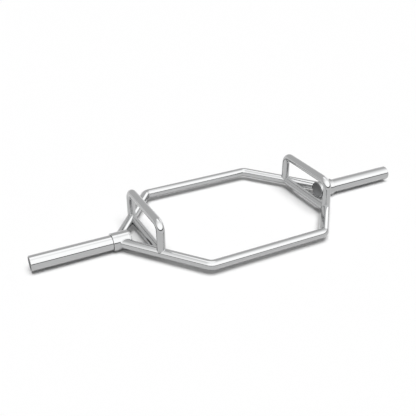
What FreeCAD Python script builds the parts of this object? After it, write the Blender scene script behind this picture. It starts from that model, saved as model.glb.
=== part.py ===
import FreeCAD, Part
import math
import os
from types import SimpleNamespace

import Sketcher

# Hex trap bar: a hexagon of bent tube that a lifter stands inside, with a low and a raised
# grip at both sides and, at each end, a plate sleeve that turns on a fixed spindle.
# The bar lies flat, +X along the sleeves, +Y to the rear and +Z up. The origin is on the
# floor, under the middle of the bar. All lengths are millimetres.

SHEET = "Sizes"

SIZES = {
    # Whole bar
    "overall_length": 1365,
    # Hexagon, measured between the tubes' centrelines
    "hex_depth": 518,
    "hex_side": 408,
    "hex_reach": 818,
    "hex_bend": 26,
    "tube_od": 32,
    "tube_wall": 4,
    # Grips
    "grip_spacing": 618,
    "grip_rise": 99,
    "grip_bend": 28,
    "grip_od": 27,
    "grip_wall": 3.5,
    # Hubs at the hexagon's two points
    "hub_od": 60,
    "hub_length": 60,
    "hub_cap_thickness": 5,
    "hub_edge": 1,
    # Plate sleeves
    "sleeve_length": 257,
    "sleeve_od": 50,
    "sleeve_wall": 5,
    "sleeve_edge": 1.5,
    "end_cap_thickness": 4,
    "end_cap_recess": 1.5,
    "end_cap_ledge": 2,
    "end_cap_edge": 0.6,
    # Spindles and what holds the sleeves on them
    "spindle_od": 30,
    "spindle_edge": 1,
    "bushing_length": 40,
    "thrust_washer_thickness": 2,
    "thrust_washer_inset": 1.5,
    "retaining_washer_thickness": 4,
    "retaining_washer_gap": 1.5,
    "bolt_diameter": 12,
    "bolt_length": 30,
    "bolt_head_width": 18,
    "bolt_head_height": 7.5,
    "thread_spare": 5,
    "head_room": 3,
    # Clearances
    "running_clearance": 0.05,
    "seat_clearance": 0.02,
    "axial_play": 0.4,
}


class Size:
    """A number together with the sheet formula that gives it."""

    def __init__(self, value, formula):
        self.value = float(value)
        self.formula = formula

    @staticmethod
    def of(number):
        return number if isinstance(number, Size) else Size(number, str(number))

    def __add__(self, other):
        other = Size.of(other)
        return Size(self.value + other.value, f"({self.formula} + {other.formula})")

    def __sub__(self, other):
        other = Size.of(other)
        return Size(self.value - other.value, f"({self.formula} - {other.formula})")

    def __mul__(self, other):
        other = Size.of(other)
        return Size(self.value * other.value, f"({self.formula} * {other.formula})")

    def __truediv__(self, other):
        other = Size.of(other)
        return Size(self.value / other.value, f"({self.formula} / {other.formula})")

    def __neg__(self):
        return Size(-self.value, f"(-{self.formula})")


ZERO = Size.of(0)
doc = FreeCAD.newDocument("hex_trap_bar")


def fill_sheet():
    """Puts the driving sizes into the document's sheet and returns them by name."""
    sheet = doc.addObject("Spreadsheet::Sheet", SHEET)
    for row, (alias, value) in enumerate(SIZES.items(), start=1):
        sheet.set(f"A{row}", alias)
        sheet.set(f"B{row}", str(value))
        sheet.setAlias(f"B{row}", alias)
    doc.recompute()
    return SimpleNamespace(**{a: Size(v, f"{SHEET}.{a}") for a, v in SIZES.items()})


s = fill_sheet()

# Radii
hub_r = s.hub_od / 2
tube_r = s.tube_od / 2
grip_r = s.grip_od / 2
sleeve_r = s.sleeve_od / 2
sleeve_bore_r = sleeve_r - s.sleeve_wall
ledge_r = sleeve_bore_r + s.end_cap_ledge
spindle_r = s.spindle_od / 2
bolt_r = s.bolt_diameter / 2
bolt_hole_r = bolt_r + s.running_clearance
running_r = spindle_r + s.running_clearance

# Stations along the right-hand sleeve, from the middle of the bar outwards
half_length = s.overall_length / 2
collar_x = half_length - s.sleeve_length
hub_inner_x = collar_x - s.hub_length
hub_seam_x = hub_inner_x + s.hub_cap_thickness
washer_face_x = collar_x + s.thrust_washer_thickness
sleeve_inner_x = washer_face_x + s.axial_play
ledge_x = half_length - s.end_cap_recess - s.end_cap_thickness
bolt_head_x = ledge_x - s.head_room - s.bolt_head_height
spindle_end_x = bolt_head_x - s.retaining_washer_thickness
bushing_stop_x = spindle_end_x - s.axial_play

# Corners of the hexagon and the places where the grips stand on its slanting sides
reach_x = s.hex_reach / 2
corner_x = s.hex_side / 2
side_y = s.hex_depth / 2
grip_x = s.grip_spacing / 2
post_y = side_y * (reach_x - grip_x) / (reach_x - corner_x)

TURNS = {"left": 180, "right": 0}


def bind(thing, path, size):
    """Ties one property of a document object to the sheet."""
    thing.setExpression(path, size.formula)


def dimension(sketch, kind, references, size):
    """Adds a dimension to a sketch and ties it to the sheet."""
    index = sketch.addConstraint(Sketcher.Constraint(kind, *references, size.value))
    bind(sketch, f"Constraints[{index}]", size)


def place_point(sketch, geometry, end, point):
    """Holds an end of a piece of sketch geometry at a point given by two sizes."""
    for kind, size in zip(("DistanceX", "DistanceY"), point):
        dimension(sketch, kind, (-1, 1, geometry, end), size)


def vector(point):
    """The sketch vector of a point given by two sizes."""
    return FreeCAD.Vector(point[0].value, point[1].value, 0)


def sketch_on(body, role, name, offset=ZERO):
    """A sketch on one of the body's own planes, moved out along its normal."""
    sketch = body.newObject("Sketcher::SketchObject", name)
    plane = next(f for f in body.Origin.OriginFeatures if f.Role == role)
    sketch.AttachmentSupport = [(plane, "")]
    sketch.MapMode = "FlatFace"
    sketch.AttachmentOffset = FreeCAD.Placement(FreeCAD.Vector(0, 0, offset.value), FreeCAD.Rotation())
    bind(sketch, "AttachmentOffset.Base.z", offset)
    return sketch


def seat(thing, turn):
    """Lifts a finished sub-part so that the hubs stand on the floor, and turns it to its side."""
    turned_about_z = FreeCAD.Rotation(FreeCAD.Vector(0, 0, 1), turn)
    thing.Placement = FreeCAD.Placement(FreeCAD.Vector(0, 0, hub_r.value), turned_about_z)
    bind(thing, "Placement.Base.z", hub_r)
    return thing


def turned(name, outline):
    """A lathe-turned body about the X axis, from its half section as (station, radius) points."""
    body = doc.addObject("PartDesign::Body", name)
    sketch = sketch_on(body, "XZ_Plane", f"{name}_section")
    corners = [vector(point) for point in outline]
    sides = []
    for start, end in zip(corners, corners[1:] + corners[:1]):
        sides.append(sketch.addGeometry(Part.LineSegment(start, end)))
    for side, following in zip(sides, sides[1:] + sides[:1]):
        sketch.addConstraint(Sketcher.Constraint("Coincident", side, 2, following, 1))
    for side, point in zip(sides, outline):
        place_point(sketch, side, 1, point)
    revolution = body.newObject("PartDesign::Revolution", f"{name}_turning")
    revolution.Profile = sketch
    revolution.ReferenceAxis = (sketch, ["H_Axis"])
    revolution.Angle = 360
    return body


def rounded_corner(before, corner, after, radius):
    """A bend's two tangent points in path order, and its arc drawn anticlockwise."""
    back = (before - corner).normalize()
    onward = (after - corner).normalize()
    half_angle = back.getAngle(onward) / 2
    setback = radius / math.tan(half_angle)
    inward = (back + onward).normalize()
    crown = corner + inward * (radius / math.sin(half_angle) - radius)
    start = corner + back * setback
    end = corner + onward * setback
    turns_left = onward.cross(back).z > 0
    arc = Part.Arc(start, crown, end) if turns_left else Part.Arc(end, crown, start)
    return SimpleNamespace(start=start, end=end, arc=arc, entry=1 if turns_left else 2)


def draw_path(sketch, points, radius):
    """Draws straight runs through the points, with a tangent arc at each inner point."""
    corners = [vector(point) for point in points]
    bends = []
    for before, corner, after in zip(corners, corners[1:], corners[2:]):
        bends.append(rounded_corner(before, corner, after, radius.value))
    starts = [corners[0]] + [bend.end for bend in bends]
    ends = [bend.start for bend in bends] + [corners[-1]]
    runs = [sketch.addGeometry(Part.LineSegment(a, b)) for a, b in zip(starts, ends)]
    marks = [sketch.addGeometry(Part.Point(corner), True) for corner in corners]
    for mark, point in zip(marks, points):
        place_point(sketch, mark, 1, point)
    sketch.addConstraint(Sketcher.Constraint("Coincident", runs[0], 1, marks[0], 1))
    sketch.addConstraint(Sketcher.Constraint("Coincident", runs[-1], 2, marks[-1], 1))
    for mark, run_in, run_out in zip(marks[1:-1], runs, runs[1:]):
        sketch.addConstraint(Sketcher.Constraint("PointOnObject", mark, 1, run_in))
        sketch.addConstraint(Sketcher.Constraint("PointOnObject", mark, 1, run_out))
    for bend, run_in, run_out in zip(bends, runs, runs[1:]):
        curve = sketch.addGeometry(bend.arc)
        sketch.addConstraint(Sketcher.Constraint("Tangent", run_in, 2, curve, bend.entry))
        sketch.addConstraint(Sketcher.Constraint("Tangent", curve, 3 - bend.entry, run_out, 1))
        dimension(sketch, "Radius", (curve,), radius)


def bent_bar(name, role, offset, points, bend, radii):
    """A round bar along a path, or a tube where two radii are given."""
    body = doc.addObject("PartDesign::Body", name)
    path = sketch_on(body, role, f"{name}_path", offset)
    draw_path(path, points, bend)
    doc.recompute()
    section = body.newObject("Sketcher::SketchObject", f"{name}_section")
    section.AttachmentSupport = [(path, "Edge1")]
    section.MapMode = "NormalToEdge"
    section.MapPathParameter = 0
    for radius in radii:
        origin = FreeCAD.Vector(0, 0, 0)
        normal = FreeCAD.Vector(0, 0, 1)
        circle = section.addGeometry(Part.Circle(origin, normal, radius.value))
        section.addConstraint(Sketcher.Constraint("Coincident", circle, 3, -1, 1))
        dimension(section, "Radius", (circle,), radius)
    pipe = body.newObject("PartDesign::AdditivePipe", f"{name}_sweep")
    pipe.Profile = section
    pipe.Spine = (path, [f"Edge{i + 1}" for i in range(len(path.Shape.Edges))])
    return body


def cope(name, bar, tools):
    """A bar whose ends are cut, one tool after the other, to sit on what they are welded to."""
    for tool in tools:
        cut = doc.addObject("Part::Cut", f"{name}_on_{tool.Name}")
        cut.Base = bar
        cut.Tool = tool
        bar = cut
    bar.Label = name
    return bar


def axial_cylinder(name, radius, start_x, length):
    """A plain cylinder about the X axis."""
    cylinder = doc.addObject("Part::Cylinder", name)
    along_x = FreeCAD.Rotation(FreeCAD.Vector(0, 1, 0), 90)
    cylinder.Placement = FreeCAD.Placement(FreeCAD.Vector(start_x.value, 0, 0), along_x)
    bind(cylinder, "Placement.Base.x", start_x)
    bind(cylinder, "Radius", radius)
    bind(cylinder, "Height", length)
    return cylinder


def hex_frame():
    """The front and rear tubes of the hexagon and the grips that are welded to them."""
    hub_line = axial_cylinder("hub_cope", hub_r, -half_length, s.overall_length)
    nodes = []
    solid_rails = []
    for name, y in (("front", -side_y), ("rear", side_y)):
        points = [(-reach_x, ZERO), (-corner_x, y), (corner_x, y), (reach_x, ZERO)]
        rail = ("XY_Plane", ZERO, points, s.hex_bend)
        solid_rails.append(bent_bar(f"{name}_hex_blank", *rail, [tube_r]))
        tube = bent_bar(f"{name}_hex_bar", *rail, [tube_r, tube_r - s.tube_wall])
        nodes.append(seat(cope(f"{name}_hex_tube", tube, [hub_line]), TURNS["right"]))

    grip_radii = [grip_r, grip_r - s.grip_wall]
    foot_points = [(-post_y, ZERO), (post_y, ZERO)]
    raised_points = [foot_points[0], (-post_y, s.grip_rise), (post_y, s.grip_rise), foot_points[1]]
    raised = ("YZ_Plane", grip_x, raised_points, s.grip_bend)
    raised_bar = bent_bar("raised_grip_bar", *raised, grip_radii)
    raised_blank = bent_bar("raised_grip_blank", *raised, [grip_r])
    low_bar = bent_bar("low_grip_bar", "YZ_Plane", grip_x, foot_points, s.grip_bend, grip_radii)
    for side, turn in TURNS.items():
        high_handle = cope(f"{side}_high_handle", raised_bar, solid_rails)
        low_handle = cope(f"{side}_low_handle", low_bar, solid_rails + [raised_blank])
        nodes += [seat(high_handle, turn), seat(low_handle, turn)]
    return nodes


def ring(start_x, end_x, inner_r, outer_r):
    """Half section of a plain ring."""
    return [(start_x, inner_r), (start_x, outer_r), (end_x, outer_r), (end_x, inner_r)]


def hub_outlines():
    """Half sections of what is welded together at the hexagon's point."""
    seat_r = spindle_r + s.seat_clearance
    edge = s.hub_edge
    thread_x = spindle_end_x - s.bolt_length + s.retaining_washer_thickness - s.thread_spare
    return {
        "hub_cap": [
            (hub_inner_x, ZERO),
            (hub_inner_x, hub_r - edge),
            (hub_inner_x + edge, hub_r),
            (hub_seam_x, hub_r),
            (hub_seam_x, ZERO),
        ],
        "hub": [
            (hub_seam_x, seat_r),
            (hub_seam_x, hub_r),
            (collar_x - edge, hub_r),
            (collar_x, hub_r - edge),
            (collar_x, seat_r),
        ],
        "spindle": [
            (hub_seam_x, ZERO),
            (hub_seam_x, spindle_r),
            (spindle_end_x - s.spindle_edge, spindle_r),
            (spindle_end_x, spindle_r - s.spindle_edge),
            (spindle_end_x, bolt_hole_r),
            (thread_x, bolt_hole_r),
            (thread_x, ZERO),
        ],
        "thrust_washer": ring(collar_x, washer_face_x, running_r, sleeve_r - s.thrust_washer_inset),
        "retaining_washer": ring(
            spindle_end_x,
            bolt_head_x,
            bolt_hole_r,
            sleeve_bore_r - s.retaining_washer_gap,
        ),
    }


def sleeve_outlines():
    """Half sections of what turns on the spindle."""
    edge = s.sleeve_edge
    bushing_r = sleeve_bore_r - s.seat_clearance
    cap_r = ledge_r - s.seat_clearance
    cap_face_x = ledge_x + s.end_cap_thickness
    return {
        "sleeve": [
            (sleeve_inner_x, sleeve_bore_r),
            (sleeve_inner_x, sleeve_r),
            (half_length - edge, sleeve_r),
            (half_length, sleeve_r - edge),
            (half_length, ledge_r),
            (ledge_x, ledge_r),
            (ledge_x, sleeve_bore_r),
        ],
        "inner_bushing": ring(sleeve_inner_x, sleeve_inner_x + s.bushing_length, running_r, bushing_r),
        "outer_bushing": ring(bushing_stop_x - s.bushing_length, bushing_stop_x, running_r, bushing_r),
        "end_cap": [
            (ledge_x, ZERO),
            (ledge_x, cap_r),
            (cap_face_x - s.end_cap_edge, cap_r),
            (cap_face_x, cap_r - s.end_cap_edge),
            (cap_face_x, ZERO),
        ],
    }


def turned_pieces():
    """Both ends' hubs, spindles, sleeves and the small pieces inside them."""
    outlines = {**hub_outlines(), **sleeve_outlines()}
    nodes = []
    for side, turn in TURNS.items():
        for piece, outline in outlines.items():
            nodes.append(seat(turned(f"{side}_{piece}", outline), turn))
    return nodes


def retaining_bolts():
    """The hex-headed bolts in the spindles' ends."""
    shank_x = bolt_head_x - s.bolt_length
    shank = axial_cylinder("bolt_shank", bolt_r, shank_x, s.bolt_length)
    head = doc.addObject("Part::Prism", "bolt_head")
    head.Polygon = 6
    head.Placement = FreeCAD.Placement(shank.Placement.Base, shank.Placement.Rotation)
    bind(head, "Placement.Base.x", bolt_head_x)
    bind(head, "Circumradius", s.bolt_head_width / math.sqrt(3))
    bind(head, "Height", s.bolt_head_height)
    nodes = []
    for side, turn in TURNS.items():
        bolt = doc.addObject("Part::Fuse", f"{side}_retaining_bolt")
        bolt.Base = head
        bolt.Tool = shank
        nodes.append(seat(bolt, turn))
    return nodes


def check(nodes):
    """Stops if any object failed or any sub-part is not one sound solid."""
    for thing in doc.Objects:
        if {"Invalid", "Error"} & set(thing.State):
            raise RuntimeError(f"{thing.Label} failed: {thing.State}")
    for node in nodes:
        if node.Shape.isNull() or not node.Shape.isValid():
            raise RuntimeError(f"{node.Label} has no valid shape")
        if len(node.Shape.Solids) != 1:
            raise RuntimeError(f"{node.Label} is {len(node.Shape.Solids)} solids")


def main():
    nodes = hex_frame() + turned_pieces() + retaining_bolts()
    doc.recompute()
    check(nodes)
    os.makedirs("parts", exist_ok=True)
    for node in nodes:
        node.Shape.exportStep(os.path.join("parts", f"{node.Label}.step"))
        print(f"{node.Label}: {node.Shape.Volume / 1000:.1f} cm3")


main()
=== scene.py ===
"""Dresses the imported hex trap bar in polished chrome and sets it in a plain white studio.

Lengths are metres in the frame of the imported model: +X along the plate sleeves, +Y to the rear,
+Z up, and the floor at zero.
"""
import logging
import math
from dataclasses import dataclass
from enum import Enum
from typing import Any, Callable, Sequence

import bmesh
import bpy
import numpy as np
from mathutils import Euler, Matrix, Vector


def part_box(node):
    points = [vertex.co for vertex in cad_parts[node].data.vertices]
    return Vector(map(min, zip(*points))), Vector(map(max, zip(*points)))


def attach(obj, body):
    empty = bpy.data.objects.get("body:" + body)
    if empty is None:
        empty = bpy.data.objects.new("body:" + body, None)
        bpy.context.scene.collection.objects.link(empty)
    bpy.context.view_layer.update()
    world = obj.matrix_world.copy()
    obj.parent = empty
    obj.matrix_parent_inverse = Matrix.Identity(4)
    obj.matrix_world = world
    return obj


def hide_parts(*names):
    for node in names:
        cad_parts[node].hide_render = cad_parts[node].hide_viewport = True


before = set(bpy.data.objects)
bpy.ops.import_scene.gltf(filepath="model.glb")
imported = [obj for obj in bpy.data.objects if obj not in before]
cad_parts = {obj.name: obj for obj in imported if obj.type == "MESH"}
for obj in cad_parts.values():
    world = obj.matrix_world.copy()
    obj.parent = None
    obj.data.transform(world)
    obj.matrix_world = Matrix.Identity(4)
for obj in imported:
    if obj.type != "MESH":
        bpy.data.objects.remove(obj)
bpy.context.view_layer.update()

LOG = logging.getLogger("hex_trap_bar")

# The attribute that holds a piece's straightened coordinates
UNROLLED = "unrolled"

# How meshes are joined and shaded
MERGE_WITHIN = 2e-6
CREASE = math.radians(32)
FLAT_LEAD = 1e-4

# Where the darker face stops: on an inner disc, where it is painted shade, and on an end plug
DISC_RIM_R = 0.0273
PLUG_RIM_R = 0.0214

Array = np.ndarray
Cut = Callable[[Array, Array], Array]
Rgb = tuple[float, float, float]
Stops = tuple[tuple[float, float], tuple[float, float]]


class Side(Enum):
    """The bar's two ends; the value is the sign of X there."""

    LEFT = -1
    RIGHT = 1

    @property
    def label(self) -> str:
        """The side's name as the nodes are called."""
        return self.name.lower()

    def turn(self, points: Array) -> Array:
        """Turns right-hand points half round the vertical axis for the left side."""
        return points * (self.value, self.value, 1)


class Grain(Enum):
    """Which way the last polishing ran: hairlines per metre across, across and along a piece."""

    ALONG = (1100.0, 1100.0, 9.0)
    AROUND = (14.0, 14.0, 2600.0)


class Slot(Enum):
    """The record's material slots that new pieces belong to."""

    CHROME = "polished_chrome"
    NYLON = "dark_nylon"


@dataclass(frozen=True)
class BarSizes:
    """Sizes that more than one sub-assembly shares.

    Those that a node's box shows are read from the frame; the rest are the bar's own sizes.
    """

    axis_z: float
    hub_r: float
    tube_r: float
    side_y: float
    grip_x: float
    grip_r: float
    post_y: float
    grip_z: float
    corner_x: float = 0.204
    reach_x: float = 0.409
    hex_bend: float = 0.026
    grip_bend: float = 0.028
    tube_wall: float = 0.004
    grip_wall: float = 0.0035

    @classmethod
    def from_frame(cls) -> "BarSizes":
        """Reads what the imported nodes' boxes show.

        Returns:
            The shared sizes.
        """
        hub_low, hub_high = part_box("right_hub")
        rail_low, rail_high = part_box("rear_hex_tube")
        grip_low, grip_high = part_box("right_high_handle")
        tube_r = (rail_high.z - rail_low.z) / 2
        grip_r = (grip_high.x - grip_low.x) / 2
        return cls(
            axis_z=(hub_low.z + hub_high.z) / 2,
            hub_r=(hub_high.z - hub_low.z) / 2,
            tube_r=tube_r,
            side_y=rail_high.y - tube_r,
            grip_x=(grip_low.x + grip_high.x) / 2,
            grip_r=grip_r,
            post_y=grip_high.y - grip_r,
            grip_z=grip_high.z - grip_r,
        )

    @property
    def slant(self) -> Array:
        """Unit vector along the right-hand rear slanting side, from the corner to the point."""
        run = np.array([self.reach_x - self.corner_x, -self.side_y, 0.0])
        return run / np.linalg.norm(run)


def node_span(node: str) -> tuple[float, float, float]:
    """Reads a round right-hand node's place from its box.

    Args:
        node: the node's name.

    Returns:
        Where it starts and ends along the bar, and its radius.
    """
    low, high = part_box(node)
    return low.x, high.x, (high.z - low.z) / 2


@dataclass(frozen=True)
class Cylinder:
    """An endless cylinder that a bar's end is cut to sit on."""

    through: Array
    along: Array
    radius: float

    def reach(self, points: Array, direction: Array) -> Array:
        """Distance from points to the first place where a straight line meets the cylinder.

        With everything seen along the cylinder's axis, a line p + l d meets the circle where
        |p + l d|^2 = radius^2, and the smaller root l is the near side.

        Args:
            points: starting points, shape (n, 3).
            direction: unit vector of all the lines.

        Returns:
            The distances, shape (n,).
        """
        flat_start = points - self.through
        flat_start = flat_start - np.outer(flat_start @ self.along, self.along)
        flat_run = direction - (direction @ self.along) * self.along
        a = flat_run @ flat_run
        b = flat_start @ flat_run
        c = np.einsum("ij,ij->i", flat_start, flat_start) - self.radius**2
        return (-b - np.sqrt(np.maximum(b * b - a * c, 0))) / a

    def normals(self, points: Array) -> Array:
        """Unit vectors that point out of the cylinder at points on it.

        Args:
            points: points on or near the surface, shape (n, 3).

        Returns:
            The normals, shape (n, 3).
        """
        out = points - self.through
        out = out - np.outer(out @ self.along, self.along)
        return out / np.linalg.norm(out, axis=1, keepdims=True)


@dataclass(frozen=True)
class Surface:
    """A grid of points, closed round its columns, that becomes a mesh.

    Attributes:
        points: places, shape (rows, columns, 3).
        unrolled: the same points on the straightened piece, whose axis is the third coordinate.
        closed_rows: whether the last row joins the first; if not, both end rows are poles.
    """

    points: Array
    unrolled: Array
    closed_rows: bool = True

    def faces(self) -> Array:
        """Four corner numbers for each face, turned so that the faces point outwards.

        The sign of the volume, the sum of a . (b x c) over the faces' halves, shows which way
        the grid runs.

        Returns:
            Corner numbers, shape (faces, 4).
        """
        rows, columns = self.points.shape[:2]
        number = np.arange(rows * columns).reshape(rows, columns)
        below = np.roll(number, -1, axis=0)
        if not self.closed_rows:
            number, below = number[:-1], below[:-1]
        corners = [number, below, np.roll(below, -1, axis=1), np.roll(number, -1, axis=1)]
        quads = np.stack(corners, axis=-1).reshape(-1, 4)
        centred = self.points.reshape(-1, 3) - self.points.mean(axis=(0, 1))
        a, b, c, d = (centred[quads[:, k]] for k in range(4))
        volume = np.einsum("ij,ij->", a, np.cross(b, c)) + np.einsum("ij,ij->", a, np.cross(c, d))
        return quads if volume > 0 else quads[:, ::-1]


def mesh_piece(name: str, surface: Surface) -> bpy.types.Object:
    """Makes one object from a surface, with poles and repeated rows merged.

    Args:
        name: the piece's name.
        surface: what the piece is made of.

    Returns:
        The new object, at the origin.
    """
    mesh = bpy.data.meshes.new(name)
    mesh.from_pydata(surface.points.reshape(-1, 3).tolist(), [], surface.faces().tolist())
    attribute = mesh.attributes.new(UNROLLED, "FLOAT_VECTOR", "POINT")
    attribute.data.foreach_set("vector", surface.unrolled.astype(np.float32).ravel())
    work = bmesh.new()
    work.from_mesh(mesh)
    bmesh.ops.remove_doubles(work, verts=work.verts, dist=MERGE_WITHIN)
    work.to_mesh(mesh)
    work.free()
    mesh.shade_smooth()
    mesh.set_sharp_from_angle(angle=CREASE)
    piece = bpy.data.objects.new(name, mesh)
    bpy.context.scene.collection.objects.link(piece)
    return piece


def round_corners(corners: Array, radii: Array, steps: int = 5) -> Array:
    """Rounds the corners of a closed outline.

    Between the tangent points S and E of a corner K, with half the corner's angle h, the arc is
    ((1-t)^2 S + 2t(1-t) w K + t^2 E) / ((1-t)^2 + 2t(1-t) w + t^2) with w = sin h. One more point
    stands a little beyond each end of the arc, so that the flats between arcs shade flat.

    Args:
        corners: the outline's corners, shape (n, 2).
        radii: the radius at each corner, where zero leaves it sharp.
        steps: points on each arc.

    Returns:
        The rounded outline, shape (n * (steps + 2), 2).
    """
    back = np.roll(corners, 1, axis=0) - corners
    onward = np.roll(corners, -1, axis=0) - corners
    back = back / np.linalg.norm(back, axis=1, keepdims=True)
    onward = onward / np.linalg.norm(onward, axis=1, keepdims=True)
    half = np.arccos(np.clip(np.einsum("ij,ij->i", back, onward), -1, 1)) / 2
    setback = (radii / np.tan(half))[:, None]
    start, end = corners + back * setback, corners + onward * setback
    t = np.linspace(0, 1, steps)[None, :, None]
    weight = np.sin(half)[:, None, None]
    parts = ((1 - t) ** 2, 2 * t * (1 - t) * weight, t**2)
    total = parts[0] * start[:, None] + parts[1] * corners[:, None] + parts[2] * end[:, None]
    beyond = np.where(radii > 0, FLAT_LEAD, 0.0)[:, None]
    rows = [(start + back * beyond)[:, None], total / sum(parts), (end + onward * beyond)[:, None]]
    return np.concatenate(rows, axis=1).reshape(-1, 2)


@dataclass(frozen=True)
class Turning:
    """A lathe-turned piece about the bar's long axis, on the right-hand side.

    Attributes:
        corners: its half section as (station, radius, radius of the broken edge) points.
        hollow: whether it is a ring; if not, its outline starts and ends on the axis.
        columns: points round the axis.
    """

    corners: Sequence[tuple[float, float, float]]
    hollow: bool = True
    columns: int = 160

    def surface(self, axis_z: float, side: Side) -> Surface:
        """Carries the outline round the axis: (x, r cos a, axis + r sin a).

        Args:
            axis_z: height of the axis.
            side: the end of the bar that the piece belongs to.

        Returns:
            The closed surface.
        """
        corners = np.array(self.corners)
        outline = round_corners(corners[:, :2], corners[:, 2])
        x, r = outline[:, :1], outline[:, 1:]
        angle = np.linspace(0, 2 * math.pi, self.columns, endpoint=False)[None]
        across, up = r * np.cos(angle), r * np.sin(angle)
        along = np.broadcast_to(x, across.shape)
        points = np.stack([along, across, up + axis_z], axis=-1)
        return Surface(side.turn(points), np.stack([across, up, along], axis=-1), self.hollow)


@dataclass(frozen=True)
class BentBar:
    """A round tube along straight runs and bends in one plane, with both ends cut to shape.

    Attributes:
        corners: where the runs' centrelines meet, in the plane, shape (n, 2); an end's corner
            only gives the direction of its run.
        plane: origin, first axis, second axis and normal of the plane.
        bend: radius of the bends' centrelines.
        radii: outer and inner radius of the tube.
        columns: points round the tube.
        bend_steps: rings on each bend.
        end_steps: rings on each cut end.
    """

    corners: Array
    plane: tuple[Array, Array, Array, Array]
    bend: float
    radii: tuple[float, float]
    columns: int = 96
    bend_steps: int = 22
    end_steps: int = 8

    def centreline(self) -> tuple[Array, Array]:
        """Stations from the first bend to the last, or the middle of a straight bar.

        On a bend the centre is c + bend * turn * (sin a, -cos a) while the heading a goes from
        one run's to the next's; the runs between bends are straight.

        Returns:
            Centres in the plane, shape (n, 2), and headings, shape (n,).
        """
        runs = np.diff(self.corners, axis=0)
        headings = np.arctan2(runs[:, 1], runs[:, 0])
        if len(runs) == 1:
            return self.corners.mean(axis=0)[None], headings
        change = (np.diff(headings) + math.pi) % (2 * math.pi) - math.pi
        turn = np.sign(change)
        setback = self.bend * np.tan(np.abs(change) / 2)
        lead = np.stack([np.cos(headings[:-1]), np.sin(headings[:-1])], axis=-1)
        left = np.stack([-lead[:, 1], lead[:, 0]], axis=-1)
        middle = self.corners[1:-1] - lead * setback[:, None] + left * (self.bend * turn)[:, None]
        share = np.linspace(0, 1, self.bend_steps)
        angle = headings[:-1, None] + change[:, None] * share
        spoke = np.stack([np.sin(angle), -np.cos(angle)], axis=-1)
        centres = middle[:, None] + spoke * (self.bend * turn)[:, None, None]
        return centres.reshape(-1, 2), angle.ravel()

    def run_out(self, ring: Array, run: Array, cut: Cut) -> tuple[Array, Array]:
        """Slides a ring straight on to a cut end, each point as far as the cut says.

        Args:
            ring: the last ring before the end, shape (columns, 3).
            run: unit vector along the tube towards the end.
            cut: gives the lengths from the ring to the end.

        Returns:
            Places, shape (rows, columns, 3), and how far they slid, shape (rows, columns).
        """
        share = np.linspace(0, 1, self.end_steps + 1)[1:, None]
        length = share * cut(ring, run)[None]
        return ring[None] + length[..., None] * run, length

    def wall(self, radius: float, start_cut: Cut, end_cut: Cut) -> tuple[Array, Array]:
        """One wall of the tube: rings centre + r (cos t * normal in plane + sin t * plane normal).

        Args:
            radius: the wall's radius.
            start_cut: gives the lengths from the first ring to the start.
            end_cut: gives the lengths from the last ring to the end.

        Returns:
            Places and unrolled places, both of shape (rows, columns, 3).
        """
        origin, first, second, normal = self.plane
        centres, headings = self.centreline()
        t = np.linspace(0, 2 * math.pi, self.columns, endpoint=False)
        runs = np.outer(np.cos(headings), first) + np.outer(np.sin(headings), second)
        inward = np.outer(-np.sin(headings), first) + np.outer(np.cos(headings), second)
        spoke = inward[:, None] * np.cos(t)[None, :, None] + normal * np.sin(t)[None, :, None]
        middle = origin + np.outer(centres[:, 0], first) + np.outer(centres[:, 1], second)
        rings = middle[:, None] + radius * spoke
        start, start_length = self.run_out(rings[0], -runs[0], start_cut)
        end, end_length = self.run_out(rings[-1], runs[-1], end_cut)
        steps = np.linalg.norm(np.diff(centres, axis=0), axis=1)
        travelled = np.concatenate([[0.0], np.cumsum(steps)])
        between = np.broadcast_to(travelled[:, None], rings.shape[:2])
        distance = np.concatenate([-start_length[::-1], between, travelled[-1] + end_length])
        turned = [np.broadcast_to(radius * part(t), distance.shape) for part in (np.cos, np.sin)]
        return np.concatenate([start[::-1], rings, end]), np.stack([*turned, distance], axis=-1)

    def surface(self, start_cut: Cut, end_cut: Cut) -> Surface:
        """The whole tube: out along the outer wall and back along the inner one.

        Args:
            start_cut: lengths from the first ring to the start.
            end_cut: lengths from the last ring to the end.

        Returns:
            The closed surface.
        """
        outer, outer_flat = self.wall(self.radii[0], start_cut, end_cut)
        inner, inner_flat = self.wall(self.radii[1], start_cut, end_cut)
        points = np.concatenate([outer, inner[::-1]])
        return Surface(points, np.concatenate([outer_flat, inner_flat[::-1]]))


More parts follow.
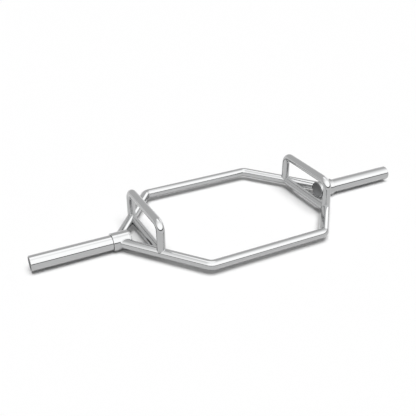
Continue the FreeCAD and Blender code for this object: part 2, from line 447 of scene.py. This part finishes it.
def fillet(
    ring: Array, bar_run: Array, bar_axis: Array, base: Cylinder, leg: Array,
    steps: int = 7, sink: float = 0.3,
) -> Surface:
    """A ground weld round the end of a bar.

    At each point E of the end, B lies one leg back along the bar and F one leg out over what
    carries it; the face is the curve (1-t)^2 B + 2t(1-t) E + t^2 F, and a root sunk a little
    behind E closes it.

    Args:
        ring: the end of the bar's outer wall, shape (n, 3).
        bar_run: unit vector along the bar to that end.
        bar_axis: a point on the bar's centreline at the end.
        base: the cylinder that the bar sits on.
        leg: the weld's size along both pieces at each point, shape (n, 1).
        steps: points across the weld's face.
        sink: how deep the root lies behind the end, in legs.

    Returns:
        The closed surface.
    """
    tangent = np.roll(ring, -1, axis=0) - np.roll(ring, 1, axis=0)
    out = np.cross(base.normals(ring), tangent)
    out /= np.linalg.norm(out, axis=1, keepdims=True)
    away = ring - bar_axis
    away = away - np.outer(away @ bar_run, bar_run)
    out *= np.sign(np.einsum("ij,ij->i", out, away))[:, None]
    foot = ring + leg * out
    normal = base.normals(foot)
    foot += (base.radius - np.einsum("ij,ij->i", foot - base.through, normal))[:, None] * normal
    shoulder = ring - leg * bar_run
    t = np.linspace(0, 1, steps)[:, None, None]
    face = (1 - t) ** 2 * shoulder + 2 * t * (1 - t) * ring + t**2 * foot
    root = ring - sink * leg * (base.normals(ring) + out)
    rows = np.concatenate([face, root[None]])
    step = np.linalg.norm(np.roll(ring, -1, axis=0) - ring, axis=1)
    length = np.broadcast_to(np.cumsum(step), rows.shape[:2])
    share = np.linspace(0, 1, len(rows))[:, None] * leg[:, 0]
    return Surface(rows, np.stack([share, np.zeros_like(share), length], axis=-1))


class Value:
    """A shader socket that takes part in Python arithmetic on single numbers."""

    def __init__(self, tree: "ShaderTree", socket: bpy.types.NodeSocket) -> None:
        """Keeps the socket and the tree it is in."""
        self.tree = tree
        self.socket = socket

    def _math(self, operation: str, first: "Value | float", second: "Value | float") -> "Value":
        """Adds a Math node.

        Args:
            operation: the node's operation.
            first: its first operand.
            second: its second operand.

        Returns:
            The node's result.
        """
        return self.tree.add("ShaderNodeMath", {"operation": operation}, {0: first, 1: second})

    def __add__(self, other: "Value | float") -> "Value":
        """self + other."""
        return self._math("ADD", self, other)

    __radd__ = __add__

    def __mul__(self, other: "Value | float") -> "Value":
        """self * other."""
        return self._math("MULTIPLY", self, other)

    __rmul__ = __mul__

    def __sub__(self, other: "Value | float") -> "Value":
        """self - other."""
        return self._math("SUBTRACT", self, other)

    def __rsub__(self, other: "Value | float") -> "Value":
        """other - self."""
        return self._math("SUBTRACT", other, self)

    def larger(self, other: "Value | float") -> "Value":
        """The larger of self and other."""
        return self._math("MAXIMUM", self, other)


Colour = Sequence[float] | Value


class ShaderTree:
    """Adds nodes to the node tree of a material or of the world."""

    def __init__(self, tree: bpy.types.NodeTree) -> None:
        """Starts from an empty tree."""
        self.tree = tree
        self.tree.nodes.clear()

    def add(
        self, kind: str, settings: dict[str, Any], sockets: dict[Any, Any], output: Any = 0
    ) -> Value:
        """Makes one node: its settings first, then its sockets.

        Args:
            kind: the node's type.
            settings: attributes of the node; "stops" are a ramp's positions and grey levels.
            sockets: values or links by socket name or number.
            output: name or number of the output that is wanted.

        Returns:
            That output.
        """
        node = self.tree.nodes.new(kind)
        stops = settings.get("stops", ())
        for key, value in settings.items():
            if key != "stops":
                setattr(node, key, value)
        if stops:
            elements = node.color_ramp.elements
            while len(elements) < len(stops):
                elements.new(1.0)
            for element, (position, level) in zip(elements, stops):
                element.position = position
                element.color = (level, level, level, 1.0)
        for key, value in sockets.items():
            if isinstance(value, Value):
                self.tree.links.new(value.socket, node.inputs[key])
            else:
                node.inputs[key].default_value = value
        return Value(self, node.outputs[output]) if len(node.outputs) else Value(self, None)

    def unrolled(self, scale: Sequence[float]) -> Value:
        """The piece's straightened coordinates, stretched by scale."""
        place = self.add("ShaderNodeAttribute", {"attribute_name": UNROLLED}, {}, "Vector")
        return self.add("ShaderNodeMapping", {}, {"Vector": place, "Scale": tuple(scale)})

    def placed(self, scale: Sequence[float] = (1, 1, 1)) -> Value:
        """The piece's own Object coordinates, stretched by scale."""
        place = self.add("ShaderNodeTexCoord", {}, {}, "Object")
        return self.add("ShaderNodeMapping", {}, {"Vector": place, "Scale": tuple(scale)})

    def noise(self, place: Value, scale: float, detail: float = 3.0) -> Value:
        """Smooth noise from 0 to 1 at a place."""
        sockets = {"Vector": place, "Scale": scale, "Detail": detail}
        return self.add("ShaderNodeTexNoise", {}, sockets)

    def ramp(self, value: Value, stops: Stops) -> Value:
        """Takes a value through a ramp of positions and levels."""
        return self.add("ShaderNodeValToRGB", {"stops": stops}, {"Fac": value})

    def smooth(self, value: Value, low: float, high: float) -> Value:
        """Goes smoothly from 0 at low to 1 at high."""
        sockets = {"Value": value, "From Min": low, "From Max": high}
        return self.add("ShaderNodeMapRange", {"interpolation_type": "SMOOTHSTEP"}, sockets)

    def mix(self, share: Value, first: Colour, second: Colour) -> Value:
        """Mixes two colours.

        Args:
            share: how much of the second colour.
            first: linear RGB, or the output of another mix.
            second: linear RGB, or the output of another mix.

        Returns:
            The mixed colour.
        """
        ends = [end if isinstance(end, Value) else (*end, 1.0) for end in (first, second)]
        sockets = {0: share, 6: ends[0], 7: ends[1]}
        return self.add("ShaderNodeMix", {"data_type": "RGBA"}, sockets, 2)

    def bump(self, height: Value, distance: float) -> Value:
        """A normal from a height between 0 and 1, distance metres tall."""
        sockets = {"Height": height, "Distance": distance, "Strength": 1.0}
        return self.add("ShaderNodeBump", {}, sockets)

    def surface(self, sockets: dict[str, Any]) -> None:
        """Ends a material in one Principled shader with these sockets."""
        shader = self.add("ShaderNodeBsdfPrincipled", {}, sockets)
        self.add("ShaderNodeOutputMaterial", {}, {"Surface": shader})


def new_material(name: str) -> tuple[bpy.types.Material, ShaderTree]:
    """Starts a node material.

    Args:
        name: the material's name.

    Returns:
        The empty material and its tree.
    """
    material = bpy.data.materials.new(name)
    material.use_nodes = True
    return material, ShaderTree(material.node_tree)


@dataclass(frozen=True)
class PolishedChrome:
    """Bright chrome plate over polished steel, with hairlines, a faint haze and handling marks.

    Scales are repeats per metre, and a haze is the roughness that its pattern adds.
    """

    name: str
    grain: Grain = Grain.ALONG
    light: Rgb = (0.452, 0.456, 0.458)
    dull: Rgb = (0.42, 0.423, 0.426)
    cloud_scale: float = 9.0
    cloud_stops: Stops = ((0.46, 0.0), (0.62, 1.0))
    mark_scale: float = 34.0
    mark_stops: Stops = ((0.56, 0.0), (0.74, 1.0))
    smear_share: float = 0.6
    roughness: float = 0.045
    cloud_haze: float = 0.035
    smear_haze: float = 0.05
    line_haze: float = 0.012
    hairline: float = 6e-7

    def material(self) -> bpy.types.Material:
        """Builds the plate's nodes.

        Returns:
            The material.
        """
        material, tree = new_material(self.name)
        lines = tree.noise(tree.unrolled(self.grain.value), 1.0, 2.0)
        cloud = tree.noise(tree.placed(), self.cloud_scale)
        marks = tree.ramp(tree.noise(tree.placed(), self.mark_scale, 4.0), self.mark_stops)
        smear = marks * tree.ramp(cloud, self.cloud_stops)
        dulled = smear * self.smear_share + cloud * (1 - self.smear_share)
        haze = cloud * self.cloud_haze + smear * self.smear_haze + lines * self.line_haze
        tree.surface({
            "Base Color": tree.mix(dulled, self.light, self.dull),
            "Metallic": 1.0,
            "Roughness": self.roughness + haze,
            "Normal": tree.bump(lines, self.hairline),
        })
        return material


@dataclass(frozen=True)
class WeldedChrome:
    """Chrome over a ground weld, whose ripples still show a little."""

    name: str = "plated_weld"
    light: Rgb = (0.44, 0.443, 0.446)
    dull: Rgb = (0.392, 0.395, 0.398)
    ripple_scale: tuple[float, float, float] = (120.0, 120.0, 620.0)
    grit_scale: float = 900.0
    grit_share: float = 0.2
    roughness: float = 0.07
    grit_haze: float = 0.07
    ripple: float = 9e-5

    def material(self) -> bpy.types.Material:
        """Builds the weld's nodes.

        Returns:
            The material.
        """
        material, tree = new_material(self.name)
        ripples = tree.noise(tree.unrolled(self.ripple_scale), 1.0, 1.0)
        grit = tree.noise(tree.placed(), self.grit_scale, 2.0)
        tree.surface({
            "Base Color": tree.mix(ripples, self.light, self.dull),
            "Metallic": 1.0,
            "Roughness": self.roughness + grit * self.grit_haze,
            "Normal": tree.bump(ripples + grit * self.grit_share, self.ripple),
        })
        return material


@dataclass(frozen=True)
class FacedPlate:
    """A darker plate inside a polished rim.

    On a hub's inner disc the darker face is painted shade, standing in for a dark reflection; on an
    end plug it is only darker than the rim. The tool's rings still show, and the plate turns bright
    where the radius passes the rim's.
    """

    name: str
    rim_r: float
    # light and dull are the face's two tones, darker than the chrome, and edge_tint keeps the face
    # dark at grazing angles too; on the inner discs this is painted shade
    light: Rgb = (0.305, 0.308, 0.312)
    dull: Rgb = (0.255, 0.257, 0.26)
    rim: Rgb = (0.44, 0.444, 0.446)
    edge_tint: float = 0.3
    ring_scale: float = 5200.0
    ring_height: float = 4e-6
    cloud_scale: float = 60.0
    cloud_share: float = 0.6
    rim_blend: float = 2e-4
    rim_roughness: float = 0.06
    face_roughness: float = 0.3
    haze: float = 0.08

    def material(self) -> bpy.types.Material:
        """Builds the plate's nodes.

        Returns:
            The material.
        """
        material, tree = new_material(self.name)
        place = tree.add("ShaderNodeAttribute", {"attribute_name": UNROLLED}, {}, "Vector")
        flat = {0: place, 1: (1, 1, 0)}
        across = tree.add("ShaderNodeVectorMath", {"operation": "MULTIPLY"}, flat)
        radius = tree.add("ShaderNodeVectorMath", {"operation": "LENGTH"}, {0: across}, "Value")
        line = {"noise_dimensions": "1D"}
        rings = tree.add("ShaderNodeTexNoise", line, {"W": radius * self.ring_scale, "Detail": 1.0})
        cloud = tree.noise(tree.placed(), self.cloud_scale)
        bright = tree.smooth(radius, self.rim_r - self.rim_blend, self.rim_r + self.rim_blend)
        dulled = cloud * self.cloud_share + rings * (1 - self.cloud_share)
        # The darker face: painted shade on the inner discs
        face = tree.mix(dulled, self.light, self.dull)
        rough = self.face_roughness + rings * self.haze + cloud * self.haze
        tree.surface({
            "Base Color": tree.mix(bright, face, self.rim),
            "Metallic": 1.0,
            "Specular Tint": (self.edge_tint,) * 3 + (1.0,),
            "Roughness": self.rim_roughness + (1 - bright) * rough,
            "Normal": tree.bump(rings * (1 - bright), self.ring_height),
        })
        return material


@dataclass(frozen=True)
class GroundSteel:
    """Ground steel with a thin film of oil."""

    name: str = "ground_steel"
    light: Rgb = (0.64, 0.64, 0.65)
    dull: Rgb = (0.52, 0.52, 0.525)
    ring_scale: tuple[float, float, float] = (2400.0, 20.0, 20.0)
    ring_height: float = 4e-6
    film_scale: float = 45.0
    roughness: float = 0.2
    ring_haze: float = 0.1
    film_haze: float = 0.08

    def material(self) -> bpy.types.Material:
        """Builds the steel's nodes.

        Returns:
            The material.
        """
        material, tree = new_material(self.name)
        rings = tree.noise(tree.placed(self.ring_scale), 1.0, 2.0)
        film = tree.noise(tree.placed(), self.film_scale)
        tree.surface({
            "Base Color": tree.mix(film, self.light, self.dull),
            "Metallic": 1.0,
            "Roughness": self.roughness + rings * self.ring_haze + film * self.film_haze,
            "Normal": tree.bump(rings, self.ring_height),
        })
        return material


@dataclass(frozen=True)
class SinteredBronze:
    """Porous bearing bronze."""

    name: str = "sintered_bronze"
    light: Rgb = (0.68, 0.46, 0.25)
    dull: Rgb = (0.45, 0.28, 0.14)
    pore_scale: float = 2600.0
    pore_stops: Stops = ((0.34, 1.0), (0.46, 0.0))
    pore_share: float = 0.7
    pore_soil: float = 0.5
    pore_depth: float = 3e-5
    tone_scale: float = 120.0
    roughness: float = 0.36
    pore_haze: float = 0.3

    def material(self) -> bpy.types.Material:
        """Builds the bronze's nodes.

        Returns:
            The material.
        """
        material, tree = new_material(self.name)
        pores = tree.ramp(tree.noise(tree.placed(), self.pore_scale, 2.0), self.pore_stops)
        tone = tree.noise(tree.placed(), self.tone_scale)
        dulled = pores * self.pore_share + tone * (1 - self.pore_share)
        tree.surface({
            "Base Color": tree.mix(dulled, self.light, self.dull),
            "Metallic": 1 - pores * self.pore_soil,
            "Roughness": self.roughness + pores * self.pore_haze,
            "Normal": tree.bump(1 - pores, self.pore_depth),
        })
        return material


@dataclass(frozen=True)
class DarkNylon:
    """Dark moulded nylon with a fine texture."""

    name: str = "dark_nylon"
    light: Rgb = (0.05, 0.05, 0.055)
    dull: Rgb = (0.025, 0.025, 0.028)
    grain_scale: float = 1500.0
    grain_height: float = 2e-5
    tone_scale: float = 60.0
    roughness: float = 0.42
    grain_haze: float = 0.18

    def material(self) -> bpy.types.Material:
        """Builds the nylon's nodes.

        Returns:
            The material.
        """
        material, tree = new_material(self.name)
        grain = tree.noise(tree.placed(), self.grain_scale, 2.0)
        tone = tree.noise(tree.placed(), self.tone_scale)
        tree.surface({
            "Base Color": tree.mix(tone, self.light, self.dull),
            "Roughness": self.roughness + grain * self.grain_haze,
            "Normal": tree.bump(grain, self.grain_height),
        })
        return material


@dataclass(frozen=True)
class Finishes:
    """The bar's materials, made once."""

    drawn: bpy.types.Material
    turned: bpy.types.Material
    disc: bpy.types.Material
    plug: bpy.types.Material
    weld: bpy.types.Material
    steel: bpy.types.Material
    bronze: bpy.types.Material
    nylon: bpy.types.Material

    @classmethod
    def make(cls) -> "Finishes":
        """Builds every finish.

        Returns:
            The materials.
        """
        return cls(
            drawn=PolishedChrome("drawn_chrome").material(),
            turned=PolishedChrome("turned_chrome", grain=Grain.AROUND, hairline=9e-7).material(),
            # The inner discs' darker face is painted shade; the end plugs' face is only darker than
            # the rim.
            disc=FacedPlate("faced_disc", rim_r=DISC_RIM_R).material(),
            plug=FacedPlate("faced_plug", rim_r=PLUG_RIM_R).material(),
            weld=WeldedChrome().material(),
            steel=GroundSteel().material(),
            bronze=SinteredBronze().material(),
            nylon=DarkNylon().material(),
        )


def seat_piece(
    piece: bpy.types.Object, body: str, slot: Slot, material: bpy.types.Material, *nodes: str
) -> None:
    """Dresses a piece, fixes it to its body and lets it stand for CAD nodes.

    Args:
        piece: the finished piece.
        body: the body that it rides on.
        slot: the record's slot that its finish belongs to; not used.
        material: its material.
        nodes: the CAD nodes that it replaces.
    """
    piece.data.materials.append(material)
    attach(piece, body)
    if nodes:
        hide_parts(*nodes)
    LOG.info("%s: %d faces on %s", piece.name, len(piece.data.polygons), body)


@dataclass
class HexFrame:
    """The two bent tubes of the hexagon and the welds that hold them to the hubs."""

    sizes: BarSizes
    finishes: Finishes
    weld_leg: float = 0.0026
    weld_least: float = 0.1

    def rail(self, sign: int) -> BentBar:
        """One half of the hexagon, from the left hub to the right one.

        Args:
            sign: -1 for the front tube, 1 for the rear one.

        Returns:
            The tube.
        """
        s = self.sizes
        y = sign * s.side_y
        corners = np.array([(-s.reach_x, 0), (-s.corner_x, y), (s.corner_x, y), (s.reach_x, 0)])
        plane = (np.array([0, 0, s.axis_z]), *np.eye(3))
        return BentBar(corners, plane, s.hex_bend, (s.tube_r, s.tube_r - s.tube_wall))

    def hub_line(self) -> Cylinder:
        """The hubs' outside, as the tubes' ends meet it."""
        middle = np.array([0, 0, self.sizes.axis_z])
        return Cylinder(middle, np.array([1.0, 0, 0]), self.sizes.hub_r)

    def weld_legs(self, end: Array) -> Array:
        """The weld's size round a tube's end, less where the hub's disc is close.

        Args:
            end: the tube's end, shape (n, 3).

        Returns:
            The sizes, shape (n, 1).
        """
        spare = np.abs(end[:, :1]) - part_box("right_hub_cap")[0].x
        return self.weld_leg * np.clip(spare / self.weld_leg, self.weld_least, 1)

    def build(self) -> None:
        """Makes both tubes and the four welds at their ends."""
        s = self.sizes
        hub = self.hub_line()
        for name, sign in (("front", -1), ("rear", 1)):
            bar = self.rail(sign)
            tube = bar.surface(hub.reach, hub.reach)
            piece = mesh_piece(f"{name}_rail", tube)
            seat_piece(piece, "frame", Slot.CHROME, self.finishes.drawn, f"{name}_hex_tube")
            rows = len(tube.points) // 2
            for side, row in ((Side.LEFT, 0), (Side.RIGHT, rows - 1)):
                run = s.slant * (side.value, sign, 0)
                point = np.array([side.value * s.reach_x, 0, s.axis_z])
                end = tube.points[row]
                weld = fillet(end, run, point, hub, self.weld_legs(end))
                bead = mesh_piece(f"{side.label}_{name}_rail_weld", weld)
                seat_piece(bead, "frame", Slot.CHROME, self.finishes.weld)


@dataclass
class Grips:
    """A raised and a low grip on one side of the hexagon."""

    sizes: BarSizes
    finishes: Finishes
    side: Side
    weld_leg: float = 0.002

    def foot(self, end: int) -> Array:
        """Where the centrelines of a post and its slanting tube meet at one end."""
        s = self.sizes
        return np.array([self.side.value * s.grip_x, end * s.post_y, s.axis_z])

    def rail_line(self, end: int) -> Cylinder:
        """The slanting tube that one end of the grips stands on.

        Args:
            end: -1 for the front end, 1 for the rear one.

        Returns:
            The tube's outside.
        """
        run = self.sizes.slant * (self.side.value, end, 1)
        return Cylinder(self.foot(end), run, self.sizes.tube_r)

    def post_line(self, end: int) -> Cylinder:
        """The outside of the raised grip's post at one end."""
        return Cylinder(self.foot(end), np.array([0, 0, 1.0]), self.sizes.grip_r)

    def low_cut(self, end: int) -> Cut:
        """What a low grip's end is cut by: the slanting tube and, above it, the post.

        Args:
            end: -1 for the front end, 1 for the rear one.

        Returns:
            The cut.
        """
        rail, post, axis_z = self.rail_line(end), self.post_line(end), self.sizes.axis_z

        def lengths(points: Array, direction: Array) -> Array:
            """Distances to whichever comes first."""
            to_rail, to_post = rail.reach(points, direction), post.reach(points, direction)
            return np.where(points[:, 2] > axis_z, np.minimum(to_rail, to_post), to_rail)

        return lengths

    def bar(self, corners: Sequence[tuple[float, float]]) -> BentBar:
        """A grip in the upright plane through both posts.

        Args:
            corners: where its runs meet, as (Y, height) points.

        Returns:
            The tube.
        """
        s = self.sizes
        x_axis, y_axis, z_axis = np.eye(3)
        plane = (self.side.value * s.grip_x * x_axis, y_axis, z_axis, x_axis)
        return BentBar(np.array(corners), plane, s.grip_bend, (s.grip_r, s.grip_r - s.grip_wall))

    def build(self) -> None:
        """Makes both grips and the welds at the posts' feet."""
        s, label = self.sizes, self.side.label
        feet = {end: self.rail_line(end) for end in (-1, 1)}
        y, foot_z, top_z = s.post_y, s.axis_z, s.grip_z
        arch = self.bar([(-y, foot_z), (-y, top_z), (y, top_z), (y, foot_z)])
        raised = arch.surface(feet[-1].reach, feet[1].reach)
        piece = mesh_piece(f"{label}_raised_grip", raised)
        seat_piece(piece, "frame", Slot.CHROME, self.finishes.drawn, f"{label}_high_handle")
        straight = self.bar([(-y, foot_z), (y, foot_z)])
        low = straight.surface(self.low_cut(-1), self.low_cut(1))
        piece = mesh_piece(f"{label}_low_grip", low)
        seat_piece(piece, "frame", Slot.CHROME, self.finishes.drawn, f"{label}_low_handle")
        down = np.array([0, 0, -1.0])
        rows = len(raised.points) // 2
        for name, end, row in (("front", -1, 0), ("rear", 1, rows - 1)):
            base = feet[end]
            legs = np.full((raised.points.shape[1], 1), self.weld_leg)
            weld = fillet(raised.points[row], down, base.through, base, legs)
            bead = mesh_piece(f"{label}_{name}_post_weld", weld)
            seat_piece(bead, "frame", Slot.CHROME, self.finishes.weld)


@dataclass
class Hub:
    """A barrel at a point of the hexagon, the disc that closes it and its thrust washer."""

    sizes: BarSizes
    finishes: Finishes
    side: Side
    seat_r: float = 0.015
    edge: float = 0.0007
    disc_edge: float = 0.0024
    ring_edge: float = 0.0002

    def ring(self, node: str, edge: float) -> Turning:
        """A plain ring on the spindle's seat, as long and as wide as its node.

        Args:
            node: the right-hand node.
            edge: radius of its broken edges.

        Returns:
            The ring.
        """
        x0, x1, outer = node_span(node)
        corners = ((x0, self.seat_r), (x0, outer), (x1, outer), (x1, self.seat_r))
        return Turning([(x, r, edge) for x, r in corners])

    def disc(self) -> Turning:
        """The disc, with a rounded rim towards the middle of the bar.

        Returns:
            The solid disc.
        """
        x0, x1, _ = node_span("right_hub_cap")
        outer = self.sizes.hub_r
        corners = [(x0, 0, 0), (x0, outer, self.disc_edge), (x1, outer, self.edge), (x1, 0, 0)]
        return Turning(corners, hollow=False)

    def build(self) -> None:
        """Makes and dresses the three pieces."""
        label, finishes = self.side.label, self.finishes
        barrel = self.ring("right_hub", self.edge)
        washer = self.ring("right_thrust_washer", self.ring_edge)
        for name, turning, slot, material, node in (
            ("hub_barrel", barrel, Slot.CHROME, finishes.turned, "hub"),
            # The disc's darker face is painted shade.
            ("hub_disc", self.disc(), Slot.CHROME, finishes.disc, "hub_cap"),
            ("thrust_ring", washer, Slot.NYLON, finishes.nylon, "thrust_washer"),
        ):
            piece = mesh_piece(f"{label}_{name}", turning.surface(self.sizes.axis_z, self.side))
            seat_piece(piece, "frame", slot, material, f"{label}_{node}")


@dataclass
class PlateSleeve:
    """A turning plate sleeve, with a lip round the thrust washer, and the disc in its outer end."""

    sizes: BarSizes
    finishes: Finishes
    side: Side
    bore_r: float = 0.020
    edge: float = 0.0010
    cap_edge: float = 0.0005
    cap_sink: float = 0.0005
    lip_r: float = 0.0241
    lip_gap: float = 0.0004
    lip_edge: float = 0.0003

    def tube(self) -> Turning:
        """The sleeve, from its bore round the lip, the outside and the seat of the end disc.

        Returns:
            The hollow sleeve.
        """
        x0, x1, outer = node_span("right_sleeve")
        ledge, _, cap_r = node_span("right_end_cap")
        lip = node_span("right_hub")[1] + self.lip_gap
        fine = self.lip_edge
        return Turning([
            (x0, self.bore_r, fine), (x0, self.lip_r, fine),
            (lip, self.lip_r, fine), (lip, outer, fine),
            (x1, outer, self.edge), (x1, cap_r, fine),
            (ledge, cap_r, fine), (ledge, self.bore_r, fine),
        ])

    def plug(self) -> Turning:
        """The end disc, sunk a little below the sleeve's end.

        Returns:
            The solid disc.
        """
        ledge, _, cap_r = node_span("right_end_cap")
        face = node_span("right_sleeve")[1] - self.cap_sink
        edge = self.cap_edge
        corners = [(ledge, 0, 0), (ledge, cap_r, edge), (face, cap_r, edge), (face, 0, 0)]
        return Turning(corners, hollow=False)

    def build(self) -> None:
        """Makes and dresses both pieces."""
        label = self.side.label
        for name, turning, material, node in (
            ("plate_sleeve", self.tube(), self.finishes.turned, "sleeve"),
            ("sleeve_plug", self.plug(), self.finishes.plug, "end_cap"),
        ):
            piece = mesh_piece(f"{label}_{name}", turning.surface(self.sizes.axis_z, self.side))
            seat_piece(piece, f"{label}_sleeve_assembly", Slot.CHROME, material, f"{label}_{node}")


@dataclass
class Bearings:
    """What is inside a sleeve; the CAD pieces stay and get their finishes."""

    finishes: Finishes
    side: Side

    def dress(self) -> None:
        """Gives every hidden node its material."""
        materials = {
            "spindle": self.finishes.steel,
            "retaining_washer": self.finishes.steel,
            "retaining_bolt": self.finishes.steel,
            "inner_bushing": self.finishes.bronze,
            "outer_bushing": self.finishes.bronze,
        }
        for node, material in materials.items():
            name = f"{self.side.label}_{node}"
            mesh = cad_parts[name].data
            mesh.materials.clear()
            mesh.materials.append(material)
            LOG.info("%s: keeps its CAD shape", name)


@dataclass
class Studio:
    """A white floor, soft light from above, grey walls and the camera.

    Levels are shares of white. A box's edge is where it starts and is full, as cosines from its
    axis, and where dome, wall and cove fade is given as parts of a direction along Y or Z.
    """

    floor_reach: float = 60.0
    floor_white: float = 0.95
    floor_roughness: float = 0.9
    fill: float = 0.25
    key: float = 2.6
    key_spread: float = math.radians(40)
    key_lean: float = math.radians(15)
    softbox: float = 2.18
    dome_fade: tuple[float, float] = (0.4, -0.4)
    top_box_axis: tuple[float, float, float] = (0.05, 0.22, 0.97)
    top_box_edge: tuple[float, float] = (0.93, 0.97)
    side_box_axis: tuple[float, float, float] = (0.83, 0.45, 0.33)
    side_box_edge: tuple[float, float] = (0.955, 0.985)
    cove_top: tuple[float, float] = (0.1, 0.12)
    wall_top: tuple[float, float] = (0.23, 0.29)
    wall_turn: tuple[float, float] = (-0.5, 0.5)
    wall_front: float = 0.04
    wall_rear: float = 0.82
    eye: tuple[float, float, float] = (-0.90606, -1.60682, 1.05854)
    heading: float = math.radians(27.105)
    pitch: float = math.radians(28.7505)
    roll: float = math.radians(-0.2027)
    lens: float = 53.269
    sensor: float = 36.0

    def floor(self) -> None:
        """A white square floor, wider than any view, at height zero."""
        material, tree = new_material("white_floor")
        tree.surface({
            "Base Color": (self.floor_white,) * 3 + (1.0,),
            "Roughness": self.floor_roughness,
            "Specular IOR Level": 0.0,
        })
        reach = self.floor_reach
        mesh = bpy.data.meshes.new("floor")
        corners = [(x * reach, y * reach, 0) for x, y in ((-1, -1), (1, -1), (1, 1), (-1, 1))]
        mesh.from_pydata(corners, [], [(0, 1, 2, 3)])
        mesh.materials.append(material)
        sheet = bpy.data.objects.new("floor", mesh)
        bpy.context.scene.collection.objects.link(sheet)

    def surround(self, tree: ShaderTree) -> Value:
        """The studio's brightness in a direction: a dome, a wall, a white cove and two softboxes.

        With Y, the dome falls from full in front to the rear wall's grey, and the wall goes from
        its front grey to its rear grey. The cove carries the floor's white up to the wall's foot.
        A softbox is where the direction's part along the box's axis passes its edge.

        Args:
            tree: the world's node tree.

        Returns:
            The level, where 1 is white.
        """
        toward = tree.add("ShaderNodeTexCoord", {}, {}, "Generated")
        depth = tree.add("ShaderNodeSeparateXYZ", {}, {0: toward}, "Y")
        height = tree.add("ShaderNodeSeparateXYZ", {}, {0: toward}, "Z")
        rear, front = self.dome_fade
        sockets = {"Value": depth, "From Min": rear, "From Max": front}
        fade = tree.add("ShaderNodeMapRange", {}, sockets)
        dome = self.wall_rear + fade * (self.softbox - self.wall_rear)
        turn = tree.smooth(depth, *self.wall_turn)
        wall = self.wall_front + turn * (self.wall_rear - self.wall_front)
        level = wall + tree.smooth(height, *self.wall_top) * (dome - wall)
        level = 1 + tree.smooth(height, *self.cove_top) * (level - 1)
        dot = {"operation": "DOT_PRODUCT"}
        for axis, edge in (
            (self.top_box_axis, self.top_box_edge),
            (self.side_box_axis, self.side_box_edge),
        ):
            along = tree.add("ShaderNodeVectorMath", dot, {0: toward, 1: axis}, "Value")
            level = level + tree.smooth(along, *edge) * (self.softbox - level)
        return level

    def lights(self) -> None:
        """The studio's walls and softboxes, and one wide soft lamp overhead.

        Camera, metal and glass all see the same walls and softboxes. Matt surfaces get the fill
        level and the lamp, which doesn't mirror in metal beside the softboxes that stand for it.
        """
        world = bpy.data.worlds.new("studio_walls")
        bpy.context.scene.world = world
        world.use_nodes = True
        tree = ShaderTree(world.node_tree)
        kinds = ("Is Camera Ray", "Is Glossy Ray", "Is Transmission Ray")
        rays = [tree.add("ShaderNodeLightPath", {}, {}, kind) for kind in kinds]
        seen = rays[0].larger(rays[1]).larger(rays[2])
        level = self.fill + seen * (self.surround(tree) - self.fill)
        shader = tree.add("ShaderNodeBackground", {}, {"Color": (1, 1, 1, 1), "Strength": level})
        tree.add("ShaderNodeOutputWorld", {}, {"Surface": shader})
        lamp = bpy.data.lights.new("overhead_softbox", "SUN")
        lamp.energy = self.key
        lamp.angle = self.key_spread
        holder = bpy.data.objects.new("overhead_softbox", lamp)
        holder.rotation_euler = Euler((self.key_lean, 0, 0))
        holder.visible_glossy = False
        bpy.context.scene.collection.objects.link(holder)

    def camera(self) -> None:
        """The camera at the photograph's viewing angle."""
        data = bpy.data.cameras.new("camera")
        data.sensor_width = self.sensor
        data.lens = self.lens
        holder = bpy.data.objects.new("camera", data)
        turn = Euler((math.pi / 2 - self.pitch, 0, -self.heading)).to_matrix().to_4x4()
        tilt = Matrix.Rotation(self.roll, 4, "Z")
        holder.matrix_world = Matrix.Translation(self.eye) @ turn @ tilt
        bpy.context.scene.collection.objects.link(holder)
        bpy.context.scene.camera = holder

    def build(self) -> None:
        """Sets the whole studio up."""
        bpy.context.scene.view_settings.view_transform = "Standard"
        self.floor()
        self.lights()
        self.camera()


def main() -> None:
    """Builds the bar's sub-assemblies, then the studio."""
    logging.basicConfig(level=logging.INFO, format="%(message)s")
    sizes = BarSizes.from_frame()
    finishes = Finishes.make()
    HexFrame(sizes, finishes).build()
    for side in Side:
        Grips(sizes, finishes, side).build()
        Hub(sizes, finishes, side).build()
        PlateSleeve(sizes, finishes, side).build()
        Bearings(finishes, side).dress()
    Studio().build()


if __name__ == "__main__":
    main()
